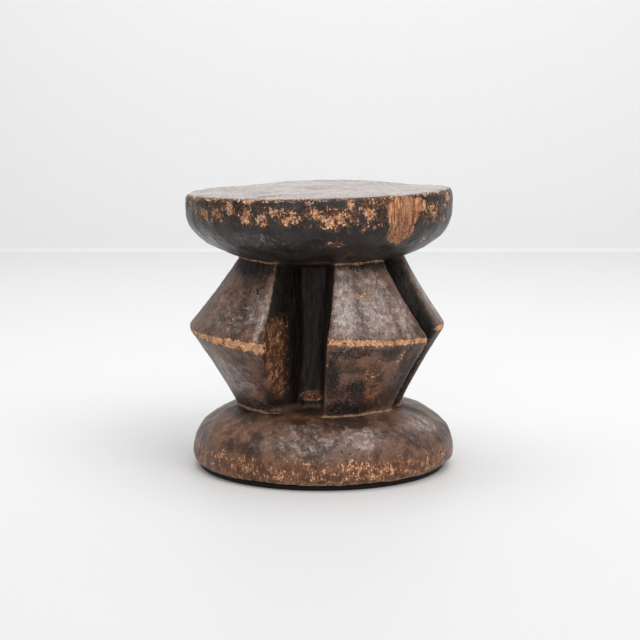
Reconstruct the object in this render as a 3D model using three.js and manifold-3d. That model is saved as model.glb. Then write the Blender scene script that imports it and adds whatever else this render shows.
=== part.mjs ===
// Round stool carved from one block of dark hardwood: a bowl-bottomed seat, a low domed base and,
// between them, five wedge-shaped supports that bulge to a ridge at half height and meet in a core.
// A thin black pad lies under the base. Millimetres, +Z up, origin at the centre of the underside.
// Azimuths are degrees seen from above, from the front (-Y) round towards +X.

import * as THREE from 'three';
import { mergeVertices } from 'three/addons/utils/BufferGeometryUtils.js';
import Module from 'manifold-3d';

const wasm = await Module();
wasm.setup();

// Pad under the base
const PAD_RADIUS = 139;
const PAD_THICKNESS = 5.5;
const PAD_GAP = 0.3;
const PAD_SIDES = 96;

// Turned outlines, from the axis and back to it, as [radius, height]
const BASE_UNDERSIDE = PAD_THICKNESS + PAD_GAP;
const BASE_OUTLINE = [
  [0, BASE_UNDERSIDE], [142, BASE_UNDERSIDE], [147, 11], [148.6, 17], [148.4, 24],
  [147, 31], [144.6, 38], [140.6, 45], [134.5, 51], [125.5, 57.5], [112, 65], [98, 69.8], [82, 71.5], [0, 72],
];
const SEAT_HEIGHT = 312.5;
const SEAT_OUTLINE = [
  [0, 227], [45, 230.5], [71, 235], [98.5, 241], [117, 248.8], [127.5, 255], [135.7, 261.3],
  [141.6, 267.7], [146, 274], [149, 282], [150.2, 293], [150, 303], [148.8, 309], [146.6, SEAT_HEIGHT], [0, SEAT_HEIGHT],
];
const ROUND_SEGMENTS = 90;

// The hand-cut rounds are neither quite centred nor quite circular: the base swells to one side
// above its foot, and the whole seat sits a little to the other side
const BASE_SWELL = 2;
const BASE_SWELL_HEIGHT = 12;
const SEAT_SHIFT = -3.3;
const WAVE_TWO = { depth: 0.004, turn: 35 };
const WAVE_THREE = { depth: 0.003, turn: 80 };
// The seat's top leans to the left by this rise per millimetre
const SEAT_SLOPE = 0.024;

// Supports: azimuths of the left and right edges at foot, ridge and neck, then the radius there and
// the height of the ridge at its left and right ends
const SUPPORTS = [
  {
    foot: { edges: [-88, -36], radius: [96, 90] },
    ridge: { edges: [-92, -27], radius: [152, 140.5], height: [158.5, 151] },
    neck: { edges: [-78, -31], radius: [95, 94.5] },
  },
  {
    foot: { edges: [1, 57], radius: [91, 92] },
    ridge: { edges: [2.2, 57.7], radius: [140, 140], height: [161, 153.5] },
    neck: { edges: [8.4, 46], radius: [94.5, 94.5] },
  },
  {
    foot: { edges: [73, 112], radius: [89, 90] },
    ridge: { edges: [67, 119], radius: [140, 141], height: [163, 158] },
    neck: { edges: [74, 110], radius: [92, 93] },
  },
  {
    foot: { edges: [143, 186], radius: [91, 92] },
    ridge: { edges: [139, 190], radius: [141, 141], height: [158, 155] },
    neck: { edges: [147, 183], radius: [94, 94] },
  },
  {
    foot: { edges: [210, 252], radius: [92, 93] },
    ridge: { edges: [206, 256], radius: [141, 143], height: [155, 158] },
    neck: { edges: [213, 250], radius: [94, 95] },
  },
];
const FOOT_HEIGHT = 70;
const NECK_HEIGHT = 239;
const BURIED = 12;
// How far the sloping faces are hollowed between ridge and foot, and between ridge and neck
const FACE_HOLLOW = 2;
// The ridge is rubbed flat over this share of the slope
const RIDGE_FLAT = 0.03;
const STEPS_ON_SLOPE = 4;
const STEPS_ACROSS = 8;
const STEPS_INWARD = 3;
const WEDGE_POINT_RADIUS = 22;

// Core where the supports meet, and the chisel step left at the foot of the front slot
const CORE_RADIUS = 43.5;
const CORE_SIDES = 12;
const FRONT_SLOT_AZIMUTH = -13;
const STEP_OUTLINE = [[36, 64], [50, 64], [50, 81.5], [42, 89.5], [36, 89.5]];
const STEP_WIDTH = 34;

const DEGREE = Math.PI / 180;

// Radius factor of the hand-cut rounds
function handCut(angle) {
  const two = WAVE_TWO.depth * Math.cos(2 * (angle - WAVE_TWO.turn * DEGREE));
  const three = WAVE_THREE.depth * Math.cos(3 * (angle - WAVE_THREE.turn * DEGREE));
  return 1 + two + three;
}

// Closed solid from a three.js geometry: shared vertices merged, triangles of no area dropped
function toSolid(geometry) {
  const bare = geometry.clone();
  bare.deleteAttribute('normal');
  bare.deleteAttribute('uv');
  const merged = mergeVertices(bare, 1e-3);
  const corners = merged.index.array;
  const kept = [];
  for (let i = 0; i < corners.length; i += 3) {
    const [a, b, c] = [corners[i], corners[i + 1], corners[i + 2]];
    if (a !== b && b !== c && c !== a) {
      kept.push(a, b, c);
    }
  }
  return new wasm.Manifold(new wasm.Mesh({
    numProp: 3,
    vertProperties: new Float32Array(merged.attributes.position.array),
    triVerts: new Uint32Array(kept),
  }));
}

// Back from a solid to a geometry that a mesh can carry
function toGeometry(solid) {
  const mesh = solid.getMesh();
  const geometry = new THREE.BufferGeometry();
  geometry.setAttribute('position', new THREE.BufferAttribute(mesh.vertProperties, 3));
  geometry.setIndex(new THREE.BufferAttribute(mesh.triVerts, 1));
  geometry.computeVertexNormals();
  return geometry;
}

// Moves each vertex of a geometry to where a function of its place sends it
function shapeVertices(geometry, send) {
  const places = geometry.attributes.position;
  const place = new THREE.Vector3();
  for (let i = 0; i < places.count; i += 1) {
    place.fromBufferAttribute(places, i);
    send(place);
    places.setXYZ(i, place.x, place.y, place.z);
  }
  return geometry;
}

// Turned round with its axis upright, made slightly uneven as if cut by hand
function carvedRound(outline) {
  const points = outline.map(([radius, height]) => new THREE.Vector2(radius, height));
  const geometry = new THREE.LatheGeometry(points, ROUND_SEGMENTS);
  geometry.rotateX(Math.PI / 2);
  return shapeVertices(geometry, (place) => {
    const factor = handCut(Math.atan2(place.x, -place.y));
    place.x *= factor;
    place.y *= factor;
  });
}

function makeBase() {
  const geometry = carvedRound(BASE_OUTLINE);
  shapeVertices(geometry, (place) => {
    const share = THREE.MathUtils.clamp((place.z - BASE_UNDERSIDE) / BASE_SWELL_HEIGHT, 0, 1);
    place.x += share * BASE_SWELL;
  });
  return toSolid(geometry);
}

function makeSeat() {
  const geometry = carvedRound(SEAT_OUTLINE);
  const levelBelow = SEAT_OUTLINE.at(-3)[1];
  shapeVertices(geometry, (place) => {
    const share = THREE.MathUtils.clamp((place.z - levelBelow) / (SEAT_HEIGHT - levelBelow), 0, 1);
    place.z += share * SEAT_SLOPE * place.x;
    place.x += SEAT_SHIFT;
  });
  return toSolid(geometry);
}

// Heights on a support as shares of its slopes: -1 at the foot, 0 on the ridge, 1 at the neck
function slopeShares() {
  const shares = [];
  for (let i = STEPS_ON_SLOPE; i >= 1; i -= 1) {
    shares.push(-i / STEPS_ON_SLOPE);
  }
  shares.push(-RIDGE_FLAT, RIDGE_FLAT);
  for (let i = 1; i <= STEPS_ON_SLOPE; i += 1) {
    shares.push(i / STEPS_ON_SLOPE);
  }
  return shares;
}

// One support: a block whose width becomes azimuth, its depth radius, and its height the slope
function makeSupport(support) {
  const { ridge } = support;
  const shares = slopeShares();
  const rows = shares.length + 1;
  const block = new THREE.BoxGeometry(1, 1, rows, STEPS_ACROSS, STEPS_INWARD, rows);
  const mix = THREE.MathUtils.lerp;
  shapeVertices(block, (place) => {
    const row = Math.round(place.z + rows / 2);
    const share = shares[THREE.MathUtils.clamp(row - 1, 0, shares.length - 1)];
    const across = place.x + 0.5;
    const inward = place.y + 0.5;
    const end = share < 0 ? support.foot : support.neck;
    const endHeight = share < 0 ? FOOT_HEIGHT : NECK_HEIGHT;
    const slope = Math.abs(share);
    const left = mix(ridge.edges[0], end.edges[0], slope);
    const right = mix(ridge.edges[1], end.edges[1], slope);
    const azimuth = mix(left, right, across) * DEGREE;
    const hollow = FACE_HOLLOW * Math.sin(Math.PI * slope);
    const outer = mix(mix(...ridge.radius, across), mix(...end.radius, across), slope) - hollow;
    const radius = mix(outer, WEDGE_POINT_RADIUS, inward);
    let height = mix(mix(...ridge.height, across), endHeight, slope);
    if (row === 0) {
      height -= BURIED;
    }
    if (row === rows) {
      height += BURIED;
    }
    place.set(radius * Math.sin(azimuth), -radius * Math.cos(azimuth), height);
  });
  return toSolid(block);
}

function makeCore() {
  const low = FOOT_HEIGHT - BURIED;
  const high = NECK_HEIGHT;
  const facet = 2 * Math.PI / CORE_SIDES;
  const column = new THREE.CylinderGeometry(CORE_RADIUS, CORE_RADIUS, high - low, CORE_SIDES, 1);
  column.rotateX(Math.PI / 2);
  column.rotateZ(FRONT_SLOT_AZIMUTH * DEGREE + facet / 2);
  column.translate(0, 0, (low + high) / 2);
  return toSolid(column);
}

function makeChiselStep() {
  const outline = new THREE.Shape(STEP_OUTLINE.map(([radius, height]) => new THREE.Vector2(radius, height)));
  const step = new THREE.ExtrudeGeometry(outline, { depth: STEP_WIDTH, bevelEnabled: false });
  step.translate(0, 0, -STEP_WIDTH / 2);
  step.rotateX(Math.PI / 2);
  step.rotateZ((FRONT_SLOT_AZIMUTH - 90) * DEGREE);
  return toSolid(step);
}

function makeStoolBody() {
  let body = makeBase().add(makeSeat()).add(makeCore());
  for (const support of SUPPORTS) {
    body = body.add(makeSupport(support));
  }
  return toGeometry(body.add(makeChiselStep()));
}

function makePad() {
  const pad = new THREE.CylinderGeometry(PAD_RADIUS, PAD_RADIUS, PAD_THICKNESS, PAD_SIDES, 1);
  pad.rotateX(Math.PI / 2);
  pad.translate(0, 0, PAD_THICKNESS / 2);
  return pad;
}

function named(name, geometry, material) {
  const mesh = new THREE.Mesh(geometry, material);
  mesh.name = name;
  return mesh;
}

const darkWood = new THREE.MeshStandardMaterial({ color: 0x3a2a21, roughness: 0.5, metalness: 0 });
const blackFelt = new THREE.MeshStandardMaterial({ color: 0x121110, roughness: 0.95, metalness: 0 });

const stool = new THREE.Group();
stool.add(named('stool_body', makeStoolBody(), darkWood));
stool.add(named('floor_pad', makePad(), blackFelt));

export default stool;
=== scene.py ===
# %% [markdown]
# This lesson dresses a round carved stool. One block of hard wood was roughed out with an adze into a
# bowl-bottomed seat, a domed base and five wedge-shaped supports between them. Years of smoke, oil and
# hands have turned it black and brown, and knocks have opened the orange wood again.
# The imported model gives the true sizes. It is loaded first and is never moved or resized.

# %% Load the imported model
import math
import bpy
import numpy as np
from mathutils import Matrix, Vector, noise


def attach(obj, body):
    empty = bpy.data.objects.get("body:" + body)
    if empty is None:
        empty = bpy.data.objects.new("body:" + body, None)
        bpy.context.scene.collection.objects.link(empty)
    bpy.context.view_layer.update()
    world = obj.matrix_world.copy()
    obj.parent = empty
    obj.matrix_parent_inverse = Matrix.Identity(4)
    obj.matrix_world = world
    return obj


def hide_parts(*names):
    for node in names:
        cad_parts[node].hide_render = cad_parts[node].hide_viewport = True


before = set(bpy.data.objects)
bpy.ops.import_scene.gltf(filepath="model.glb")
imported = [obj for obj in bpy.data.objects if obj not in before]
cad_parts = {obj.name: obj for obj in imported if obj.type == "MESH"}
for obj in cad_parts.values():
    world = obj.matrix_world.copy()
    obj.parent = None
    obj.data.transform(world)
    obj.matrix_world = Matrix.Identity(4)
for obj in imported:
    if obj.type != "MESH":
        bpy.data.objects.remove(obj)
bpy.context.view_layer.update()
print("packed nodes:", sorted(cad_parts))

# %% [markdown]
# All sizes below are written in millimetres, as a carver would measure them, and turned to metres once.
# Directions round the stool are azimuths: degrees seen from above, from the front round to the right.
# Blender's modelling tools act on what is selected, so two helpers select one object, or some edges.

# %% Units and selection
MM = 0.001


def selected_only(piece):
    """Nothing but this object is selected, so that an operator acts on it alone."""
    bpy.ops.object.select_all(action="DESELECT")
    piece.select_set(True)
    bpy.context.view_layer.objects.active = piece


def select_edges(piece, wanted):
    """Goes to edit mode with only those edges selected whose two ends pass a test together."""
    bpy.ops.object.mode_set(mode="EDIT")
    bpy.ops.mesh.select_all(action="DESELECT")
    bpy.ops.object.mode_set(mode="OBJECT")
    for edge in piece.data.edges:
        start, end = [piece.data.vertices[i].co / MM for i in edge.vertices]
        edge.select = wanted(start, end)
    bpy.ops.object.mode_set(mode="EDIT")
    bpy.ops.mesh.select_mode(type="EDGE")


def apply_modifier(piece, kind, **settings):
    """Adds one modifier, sets it and applies it."""
    selected_only(piece)
    modifier = piece.modifiers.new(kind.lower(), kind)
    for key, value in settings.items():
        setattr(modifier, key, value)
    bpy.ops.object.modifier_apply(modifier=modifier.name)


print("one millimetre is", MM, "m")

# %% [markdown]
# Much of the carving moves a mesh's corners by a rule. These helpers read and write the corners as rows
# of numbers, and describe soft transitions, which hand work has everywhere.

# %% Corners and soft steps
def corners(piece):
    """Every vertex of a mesh, in millimetres, one row each."""
    flat = np.empty(len(piece.data.vertices) * 3)
    piece.data.vertices.foreach_get("co", flat)
    return flat.reshape(-1, 3) / MM


def place_corners(piece, points):
    """Puts the vertices at these places, given in millimetres."""
    piece.data.vertices.foreach_set("co", (points * MM).ravel())
    piece.data.update()


def mix(low, high, share):
    """Between low and high."""
    return low + (high - low) * share


def smooth_step(low, high, value):
    """0 below low, 1 above high, with soft ends; falls instead when high is the smaller one."""
    share = np.clip((value - low) / (high - low), 0, 1)
    return share * share * (3 - 2 * share)


def band(value, rise, fall):
    """Rises softly over the first pair of values and falls over the second."""
    return smooth_step(*rise, value) * smooth_step(*fall, value)


def azimuth(points):
    """Degrees from the front, positive to the right."""
    return np.degrees(np.arctan2(points[:, 0], -points[:, 1]))


def turn_between(angles, centre):
    """How far an azimuth is from a centre, in degrees, the short way round."""
    return (angles - centre + 180) % 360 - 180


print("halfway up a soft step:", float(smooth_step(0, 1, 0.5)))

# %% [markdown]
# The camera comes first, because every later choice is judged through it. It stands nearly two metres
# off with a long lens and looks down by eight degrees, as in a catalogue photograph.

# %% Camera
CAMERA_PLACE = (-2.0, -1843.5, 429.3)
CAMERA_TILT_DOWN = 8.18
CAMERA_LENS = 92.25
SENSOR_WIDTH = 36.0

camera_data = bpy.data.cameras.new("camera")
camera_data.sensor_width = SENSOR_WIDTH
camera_data.lens = CAMERA_LENS
camera = bpy.data.objects.new("camera", camera_data)
camera.location = Vector(CAMERA_PLACE) * MM
camera.rotation_euler = (math.radians(90 - CAMERA_TILT_DOWN), 0, 0)
bpy.context.scene.collection.objects.link(camera)
bpy.context.scene.camera = camera
print("camera stands", round(camera.location.length, 3), "m from the stool's foot")

# %% [markdown]
# A photographer's pale sweep stands behind the stool: a floor that turns up into a wall. It can be made
# from one plane whose back edge is extruded upwards and bevelled, so the bend is soft and has no seam.

# %% Floor and wall
SWEEP_HALF_WIDTH = 6000
SWEEP_FRONT = -4500
SWEEP_BACK = 2380
SWEEP_HEIGHT = 4500
SWEEP_BEND = 12
SWEEP_BEND_STEPS = 12


def at_back(start, end):
    """An edge of the sweep that lies behind the stool."""
    return min(start.y, end.y) > SWEEP_BACK / 2


bpy.ops.object.select_all(action="DESELECT")
bpy.ops.mesh.primitive_plane_add(size=1, location=(0, 0, 0))
sweep = bpy.context.object
sweep.name = "studio_sweep"
bpy.ops.object.mode_set(mode="EDIT")
bpy.ops.transform.resize(value=(2 * SWEEP_HALF_WIDTH * MM, (SWEEP_BACK - SWEEP_FRONT) * MM, 1))
bpy.ops.transform.translate(value=(0, (SWEEP_BACK + SWEEP_FRONT) / 2 * MM, 0))
select_edges(sweep, at_back)
bpy.ops.mesh.extrude_region_move(TRANSFORM_OT_translate={"value": (0, 0, SWEEP_HEIGHT * MM)})
select_edges(sweep, lambda start, end: at_back(start, end) and max(start.z, end.z) < SWEEP_BEND)
bpy.ops.mesh.bevel(offset=SWEEP_BEND * MM, segments=SWEEP_BEND_STEPS, affect="EDGES")
bpy.ops.object.mode_set(mode="OBJECT")
bpy.ops.object.shade_smooth()
print("sweep has", len(sweep.data.polygons), "faces")

# %% [markdown]
# Soft light: a wide key lamp high in front on the right, a weaker one low in front that reaches into the
# slots, one above the stool that brightens the wall, and an even pale surround. Small lamps would draw
# hard edges on the floor. Wide ones give the broad, soft sheen that old oiled wood shows.

# %% Lamps and surround
SURROUND_STRENGTH = 0.46
LAMPS = [
    {"name": "key_lamp", "place": (2000, -2650, 3850), "aim": (0, 0, 150), "size": 2800, "watts": 90},
    {"name": "front_lamp", "place": (-300, -3200, 1500), "aim": (0, 0, 200), "size": 2000, "watts": 26},
    {"name": "wall_lamp", "place": (0, 400, 2600), "aim": (0, 2380, 500), "size": 2500, "watts": 48},
]

for lamp in LAMPS:
    light = bpy.data.lights.new(lamp["name"], "AREA")
    light.shape = "SQUARE"
    light.size = lamp["size"] * MM
    light.energy = lamp["watts"]
    stand = bpy.data.objects.new(lamp["name"], light)
    stand.location = Vector(lamp["place"]) * MM
    aim = Vector(lamp["aim"]) * MM - stand.location
    stand.rotation_euler = aim.to_track_quat("-Z", "Y").to_euler()
    bpy.context.scene.collection.objects.link(stand)

surround = bpy.data.worlds.new("surround")
surround.use_nodes = True
surround.node_tree.nodes["Background"].inputs["Color"].default_value = (1, 1, 1, 1)
surround.node_tree.nodes["Background"].inputs["Strength"].default_value = SURROUND_STRENGTH
bpy.context.scene.world = surround
bpy.context.scene.view_settings.view_transform = "Standard"
print("lamps:", [lamp["name"] for lamp in LAMPS])

# %% [markdown]
# The seat and the base are rounds. A lathe shape in Blender starts as a single vertex that is extruded
# along the outline and then spun about the upright axis. The outline's few measured points are joined by
# a smooth curve first, so that no flat bands show on the polished bowl.

# %% Outlines of seat and base
PAD_THICKNESS = 5.5
PAD_GAP = 0.3
BASE_UNDERSIDE = PAD_THICKNESS + PAD_GAP
BASE_OUTLINE = [
    (0, BASE_UNDERSIDE), (142, BASE_UNDERSIDE), (147, 11), (148.6, 17), (148.4, 24), (147, 31),
    (144.6, 38), (140.6, 45), (134.5, 51), (125.5, 57.5), (112, 65), (98, 69.8), (82, 71.5), (0, 72),
]
SEAT_HEIGHT = 312.5
SEAT_RIM_FOOT = 303
SEAT_OUTLINE = [
    (0, 227), (45, 230.5), (71, 235), (98.5, 241), (117, 248.8), (127.5, 255), (135.7, 261.3),
    (141.6, 267.7), (146, 274), (149, 282), (150.2, 293), (150, SEAT_RIM_FOOT), (148.8, 309),
    (146.6, SEAT_HEIGHT), (0, SEAT_HEIGHT),
]
CURVE_STEPS = 4


def smooth_outline(outline):
    """The outline with a curve between its points; its flat ends on the axis stay straight."""
    points = [Vector(point) for point in outline]
    curve = [points[0], points[1]]
    inner = points[1:-1]
    inner = [2 * inner[0] - inner[1], *inner, 2 * inner[-1] - inner[-2]]
    for before, start, end, after in zip(inner, inner[1:], inner[2:], inner[3:]):
        for step in range(1, CURVE_STEPS + 1):
            t = step / CURVE_STEPS
            straight = 2 * start + (end - before) * t
            bend = (2 * before - 5 * start + 4 * end - after) * t ** 2
            twist = (3 * start - before - 3 * end + after) * t ** 3
            curve.append((straight + bend + twist) / 2)
    curve.append(points[-1])
    return curve


print("seat outline:", len(SEAT_OUTLINE), "points, curved to", len(smooth_outline(SEAT_OUTLINE)))

# %% Spin the rounds
ROUND_STEPS = 180
WELD_DISTANCE = 0.01


def spin_round(name, outline):
    """One vertex is extruded along the outline and spun all the way round."""
    bpy.ops.object.select_all(action="DESELECT")
    bpy.ops.mesh.primitive_plane_add(size=MM, location=(0, 0, 0))
    piece = bpy.context.object
    piece.name = name
    bpy.ops.object.mode_set(mode="EDIT")
    bpy.ops.mesh.select_mode(type="VERT")
    bpy.ops.mesh.select_all(action="SELECT")
    bpy.ops.mesh.merge(type="CENTER")
    at = Vector((0, 0))
    for point in smooth_outline(outline):
        step = Vector((point.x - at.x, 0, point.y - at.y)) * MM
        if at.length == 0:
            bpy.ops.transform.translate(value=step)
        else:
            bpy.ops.mesh.extrude_region_move(TRANSFORM_OT_translate={"value": step})
        at = point
    bpy.ops.mesh.select_all(action="SELECT")
    bpy.ops.mesh.spin(steps=ROUND_STEPS, angle=2 * math.pi, center=(0, 0, 0), axis=(0, 0, 1))
    bpy.ops.mesh.select_all(action="SELECT")
    bpy.ops.mesh.remove_doubles(threshold=WELD_DISTANCE * MM)
    bpy.ops.mesh.normals_make_consistent(inside=False)
    bpy.ops.object.mode_set(mode="OBJECT")
    return piece


base = spin_round("base", BASE_OUTLINE)
seat = spin_round("seat", SEAT_OUTLINE)
print("base and seat have", len(base.data.polygons), "and", len(seat.data.polygons), "faces")

# %% [markdown]
# Nothing carved by eye is a true circle. Two long waves round the rim make both rounds a little uneven,
# and a few soft dents and bulges more so. The base swells to one side, the seat sits to the other side
# and leans by a degree and a half, and its back edge rises in the middle. Each is a rule for the corners.

# %% Make the rounds uneven
WAVES = [(2, 0.004, 35), (3, 0.003, 80)]
SEAT_DENTS = [(-92, 311, 26, 7, 2.2), (150, 306, 20, 8, 1.5), (205, 309, 26, 6, 1.5)]
BASE_BULGES = [(-84, 20, 34, 16, 1.6), (120, 30, 40, 14, 1.0)]
SIDES_FROM_RADIUS = 100


def uneven(points):
    """Radii changed by the long waves: how many round the rim, depth as a share, and turn."""
    factor = np.ones(len(points))
    for count, depth, turn in WAVES:
        factor += depth * np.cos(np.radians(count * (azimuth(points) - turn)))
    points[:, :2] *= factor[:, None]
    return points


def press(points, places, push):
    """Moves soft patches of a side outwards: azimuth, height, half width, half height and depth in mm."""
    for turn, height, half_width, half_height, depth in places:
        radii = np.hypot(points[:, 0], points[:, 1])
        along = np.radians(turn_between(azimuth(points), turn)) * radii / half_width
        away = np.hypot(along, (points[:, 2] - height) / half_height)
        near = smooth_step(1, 0, away) * (radii > SIDES_FROM_RADIUS)
        points[:, :2] *= (1 + push * depth * near / np.maximum(radii, 1))[:, None]
    return points


base_points = press(uneven(corners(base)), BASE_BULGES, 1)
seat_points = press(uneven(corners(seat)), SEAT_DENTS, -1)
print("dents and bulges:", len(SEAT_DENTS) + len(BASE_BULGES))

# %% Swell, lean and rise
BASE_SWELL = 2
BASE_SWELL_HEIGHT = 12
SEAT_SHIFT = -3.3
SEAT_SLOPE = 0.024
SLOPE_AT_BACK = 0.45
SLOPE_EASES = (-20, 140)
BACK_RISE = 2.9
BACK_RISES = (10, 140)
RISE_MIDDLE = 15
RISE_HALF_WIDTH = 78
RISE_LOWEST = -0.6

swell = np.clip((base_points[:, 2] - BASE_UNDERSIDE) / BASE_SWELL_HEIGHT, 0, 1) * BASE_SWELL
base_points[:, 0] += swell
place_corners(base, base_points)
lean = np.clip((seat_points[:, 2] - SEAT_RIM_FOOT) / (SEAT_HEIGHT - SEAT_RIM_FOOT), 0, 1)
slope = SEAT_SLOPE * mix(1, SLOPE_AT_BACK, smooth_step(*SLOPE_EASES, seat_points[:, 1]))
seat_points[:, 2] += lean * slope * seat_points[:, 0]
hill = np.clip(1 - ((seat_points[:, 0] - RISE_MIDDLE) / RISE_HALF_WIDTH) ** 2, RISE_LOWEST, 1)
rise = hill * smooth_step(*BACK_RISES, seat_points[:, 1])
seat_points[:, 2] += lean * BACK_RISE * rise
seat_points[:, 0] += SEAT_SHIFT
place_corners(seat, seat_points)
print("seat is", round(float(np.ptp(seat_points[:, 0])), 1), "mm across")

# %% [markdown]
# Each support is a wedge of the old block: two radial sides, and an outer face that slopes out from the
# foot to a ridge and back in to the neck. It can be extruded row by row, but a finely divided cube whose
# width becomes azimuth, depth radius and height the slope gives all five with one short function.
# Foot, ridge and neck each have the azimuths of their left and right edges, then the radii there. The
# left support also has a toe: its right bottom corner has been worn back by so many millimetres.

# %% Sizes of the five supports
SUPPORTS = [
    {"foot": ((-88, -36), (96, 90)), "ridge": ((-92, -27), (152, 140.5)), "height": (158.5, 151),
     "neck": ((-78, -31), (95, 94.5)), "toe": 15},
    {"foot": ((1, 57), (91, 92)), "ridge": ((2.2, 57.7), (140, 140)), "height": (161, 153.5),
     "neck": ((8.4, 46), (94.5, 94.5))},
    {"foot": ((73, 112), (89, 90)), "ridge": ((67, 119), (140, 141)), "height": (163, 158),
     "neck": ((74, 110), (92, 93))},
    {"foot": ((143, 186), (91, 92)), "ridge": ((139, 190), (141, 141)), "height": (158, 155),
     "neck": ((147, 183), (94, 94))},
    {"foot": ((210, 252), (92, 93)), "ridge": ((206, 256), (141, 143)), "height": (155, 158),
     "neck": ((213, 250), (94, 95))},
]
FOOT_HEIGHT = 70
NECK_HEIGHT = 239
FACE_HOLLOW = 2
TOE_ACROSS = (0.76, 1.04)
TOE_DOWN = (0.3, 0.95)


def support_face(support, across, slope, below):
    """Azimuth, radius and height on a support's outer face; slope is 0 on the ridge, 1 at an end."""
    (foot_left, foot_right), foot_radii = support["foot"]
    (neck_left, neck_right), neck_radii = support["neck"]
    (ridge_left, ridge_right), ridge_radii = support["ridge"]
    left = mix(ridge_left, np.where(below, foot_left, neck_left), slope)
    right = mix(ridge_right, np.where(below, foot_right, neck_right), slope)
    end_radius = np.where(below, mix(*foot_radii, across), mix(*neck_radii, across))
    radius = mix(mix(*ridge_radii, across), end_radius, slope) - FACE_HOLLOW * np.sin(np.pi * slope)
    toe = support.get("toe", 0) * smooth_step(*TOE_ACROSS, across) * smooth_step(*TOE_DOWN, slope)
    radius -= np.where(below, toe, 0)
    height = mix(mix(*support["height"], across), np.where(below, FOOT_HEIGHT, NECK_HEIGHT), slope)
    return mix(left, right, across), radius, height


print("ridge heights at the left edges:", [support["height"][0] for support in SUPPORTS])

# %% Carve the supports
BURIED = 12
RIDGE_FLAT = 0.03
WEDGE_POINT_RADIUS = 22
SUPPORT_CUTS = 16


def carve_support(support):
    """A divided cube shaped into one wedge; its end rows are buried in base and seat."""
    bpy.ops.object.select_all(action="DESELECT")
    bpy.ops.mesh.primitive_cube_add(size=1, location=(0, 0, 0))
    piece = bpy.context.object
    bpy.ops.object.mode_set(mode="EDIT")
    bpy.ops.mesh.subdivide(number_cuts=SUPPORT_CUTS)
    bpy.ops.object.mode_set(mode="OBJECT")
    unit = corners(piece) * MM
    across = unit[:, 0] + 0.5
    inward = unit[:, 1] + 0.5
    rows = SUPPORT_CUTS + 1
    row = np.rint((unit[:, 2] + 0.5) * rows)
    half = (rows - 1) / 2
    share = np.clip((row - rows / 2) / (half - 0.5), -1, 1)
    slope = np.where(np.abs(share) < 1 / half, RIDGE_FLAT, np.abs(share))
    angle, radius, height = support_face(support, across, slope, share < 0)
    radius = mix(radius, WEDGE_POINT_RADIUS, inward)
    height = height + np.where(row == rows, BURIED, 0) - np.where(row == 0, BURIED, 0)
    angle = np.radians(angle)
    place_corners(piece, np.column_stack([radius * np.sin(angle), -radius * np.cos(angle), height]))
    return piece


supports = [carve_support(support) for support in SUPPORTS]
print("supports:", len(supports), "with", len(supports[0].data.polygons), "faces each")

# %% [markdown]
# The slots between the supports stop at a core. Seen through the front slot it is a flat chopped wall,
# with a small step at its foot where the chisel stopped. A twelve-sided cylinder turned so that one flat
# faces the slot, and a block with strongly bevelled edges, are enough, as both are half buried.

# %% Core
CORE_RADIUS = 43.5
CORE_SIDES = 12
CORE_CUTS = 3
FRONT_SLOT = -13

bpy.ops.object.select_all(action="DESELECT")
core_low = FOOT_HEIGHT - BURIED
half_facet = 180 / CORE_SIDES
bpy.ops.mesh.primitive_cylinder_add(
    vertices=CORE_SIDES, radius=CORE_RADIUS * MM, depth=(NECK_HEIGHT - core_low) * MM,
    location=(0, 0, (NECK_HEIGHT + core_low) / 2 * MM),
    rotation=(0, 0, math.radians(FRONT_SLOT + half_facet)))
core = bpy.context.object
bpy.ops.object.mode_set(mode="EDIT")
bpy.ops.mesh.subdivide(number_cuts=CORE_CUTS)
bpy.ops.object.mode_set(mode="OBJECT")
print("core has", len(core.data.polygons), "faces")

# %% Chisel step
STEP_SIZE = (34, 14, 25.5)
STEP_CENTRE_RADIUS = 43
STEP_TOP = 89.5
STEP_BEVEL = 8

bpy.ops.object.select_all(action="DESELECT")
bpy.ops.mesh.primitive_cube_add(size=1, location=(0, 0, 0))
chisel_step = bpy.context.object
bpy.ops.object.mode_set(mode="EDIT")
bpy.ops.transform.resize(value=Vector(STEP_SIZE) * MM)
bpy.ops.mesh.select_mode(type="EDGE")
bpy.ops.mesh.bevel(offset=STEP_BEVEL * MM, segments=1, affect="EDGES")
bpy.ops.object.mode_set(mode="OBJECT")
slot_angle = math.radians(FRONT_SLOT)
chisel_step.location = (
    STEP_CENTRE_RADIUS * math.sin(slot_angle) * MM,
    -STEP_CENTRE_RADIUS * math.cos(slot_angle) * MM,
    (STEP_TOP - STEP_SIZE[2] / 2) * MM,
)
chisel_step.rotation_euler = (0, 0, slot_angle)
print("chisel step has", len(chisel_step.data.polygons), "faces")

# %% [markdown]
# The stool is one piece of wood, so the bodies are joined and a voxel remesh melts them into one skin,
# which also rounds each edge by about a voxel, as handling does. A little smoothing takes the steps of
# the voxels away.

# %% One skin
VOXEL = 1.75
SMOOTH_FACTOR = 0.5
SKIN_SMOOTHING = 3

bpy.ops.object.select_all(action="DESELECT")
for piece in [base, seat, core, chisel_step, *supports]:
    piece.select_set(True)
bpy.context.view_layer.objects.active = base
bpy.ops.object.join()
stool = bpy.context.object
stool.name = "carved_stool"
stool.data.name = "carved_stool"
bpy.ops.object.transform_apply(location=True, rotation=True, scale=True)
apply_modifier(stool, "REMESH", mode="VOXEL", voxel_size=VOXEL * MM, use_smooth_shade=True)
apply_modifier(stool, "SMOOTH", factor=SMOOTH_FACTOR, iterations=SKIN_SMOOTHING)
print("skin has", len(stool.data.vertices), "vertices")

# %% [markdown]
# The wear is not spread evenly. It lies where hands, knocks and the floor reach: a broken band under the
# seat's rim, one big spall on the right where a piece split off along the grain, and the foot. Each place
# is named by azimuth, height, half its width and half its height in millimetres, and a strength.

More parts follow.
